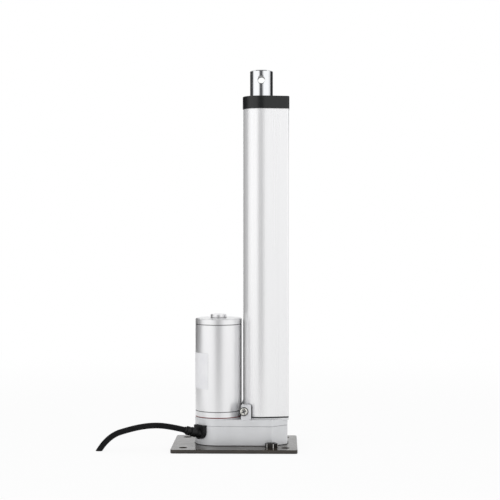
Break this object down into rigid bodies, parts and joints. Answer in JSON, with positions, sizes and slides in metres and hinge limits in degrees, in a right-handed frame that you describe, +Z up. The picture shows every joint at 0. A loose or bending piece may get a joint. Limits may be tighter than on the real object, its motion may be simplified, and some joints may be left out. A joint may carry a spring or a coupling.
{
  "type": "electric linear actuator",
  "caption": "Upright electric linear actuator: motor and gearbox on a base plate drive a screw that extends a round rod from a half-round tube.",
  "frame": {"origin": "centre of the base plate's underside", "axes": "+X from the motor to the tube, +Y from the front (cable side) to the back, +Z up along the rod, the way it extends"},
  "size_m": [0.1739, 0.084, 0.3289],
  "materials": {
    "plate_steel": "satin dark grey-brown coating",
    "zinc_steel": "bright zinc",
    "black_steel": "black oxide",
    "cast_alloy": "silver-grey coated die casting",
    "motor_shell": "satin zinc plate",
    "red_gasket": "red fibre gasket",
    "blank_label": "blank silver-white label",
    "tube_aluminium": "satin clear anodised",
    "black_plastic": "fine matt",
    "black_rubber": "matt",
    "cable_jacket": "satin PVC jacket",
    "lead_jacket": "red PVC jacket",
    "rod_steel": "polished stainless",
    "machined_steel": "turned",
    "spring_steel": "phosphated",
    "bearing_steel": "ground",
    "bronze": "sintered",
    "brass_nut": "machined",
    "white_acetal": "natural",
    "copper": "enamelled wire and bars",
    "lamination_steel": "stacked sheet",
    "ferrite": "sintered",
    "carbon": "pressed graphite",
    "phenolic_card": "pressed board",
    "board_green": "solder mask"
  },
  "bodies": {
    "base": {"base_plate": "plate_steel", "base_screws": "zinc_steel", "lug_screws": "zinc_steel", "motor_screws": "zinc_steel", "cap_screws": "zinc_steel", "plate_stud": "black_steel", "plate_nut": "black_steel", "gearbox_housing": "cast_alloy", "gearbox_cover": "cast_alloy", "motor_flange": "motor_shell", "motor_can": "motor_shell", "motor_end_cap": "motor_shell", "motor_gasket": "red_gasket", "motor_label": "blank_label", "outer_tube": "tube_aluminium", "end_cap": "black_plastic", "lower_limit_switch": "black_plastic", "upper_limit_switch": "black_plastic", "tube_seal": "black_rubber", "wiper_seal": "black_rubber", "cable_gland": "black_rubber", "power_cable": "cable_jacket", "motor_leads": "lead_jacket", "switch_lead": "lead_jacket", "idler_pin": "machined_steel", "bearing_circlip": "spring_steel", "screw_bearing": "bearing_steel", "motor_lower_bearing": "bearing_steel", "screw_foot_bush": "bronze", "motor_upper_bush": "bronze", "guide_bush": "white_acetal", "brush_arms": "copper", "motor_magnets": "ferrite", "carbon_brushes": "carbon", "brush_card": "phenolic_card", "switch_board": "board_green"},
    "rotor": {"motor_shaft": "machined_steel", "armature_core": "lamination_steel", "armature_windings": "copper", "commutator": "copper", "motor_pinion": "machined_steel"},
    "idler": {"idler_gear": "white_acetal"},
    "screw": {"lead_screw": "machined_steel", "screw_gear": "machined_steel", "gear_key": "machined_steel", "bearing_spacer": "machined_steel", "gear_circlip": "spring_steel", "screw_tip_guide": "white_acetal"},
    "rod": {"rod_tube": "rod_steel", "rod_end_plug": "rod_steel", "drive_nut": "brass_nut"},
    "lower_button": {"lower_plunger": "white_acetal"},
    "upper_button": {"upper_plunger": "white_acetal"}
  },
  "joints": [
    {"name": "rotor_spin", "type": "hinge", "parent": "base", "child": "rotor", "pos_m": [-0.0147, 0, 0.03], "axis": [0, 0, -1], "range_deg": [0, 220000]},
    {"name": "idler_spin", "type": "hinge", "parent": "base", "child": "idler", "pos_m": [0.0021, 0, 0.012], "axis": [0, 0, -1], "range_deg": [-60000, 0]},
    {"name": "screw_spin", "type": "hinge", "parent": "base", "child": "screw", "pos_m": [0.0229, 0, 0.03], "axis": [0, 0, -1], "range_deg": [0, 18000]},
    {"name": "rod_slide", "type": "slide", "parent": "base", "child": "rod", "axis": [0, 0, 1], "range_m": [0, 0.2]},
    {"name": "lower_plunger_press", "type": "slide", "parent": "base", "child": "lower_button", "axis": [1, 0, 0], "range_m": [0, 0.0008], "stiffness_N_per_m": 1500},
    {"name": "upper_plunger_press", "type": "slide", "parent": "base", "child": "upper_button", "axis": [1, 0, 0], "range_m": [0, 0.0008], "stiffness_N_per_m": 1500}
  ],
  "couplings": [
    {"joint": "screw_spin", "follows": "rod_slide", "rad_per_m": 1570.8},
    {"joint": "idler_spin", "follows": "rod_slide", "rad_per_m": -5236},
    {"joint": "rotor_spin", "follows": "rod_slide", "rad_per_m": 19199}
  ]
}
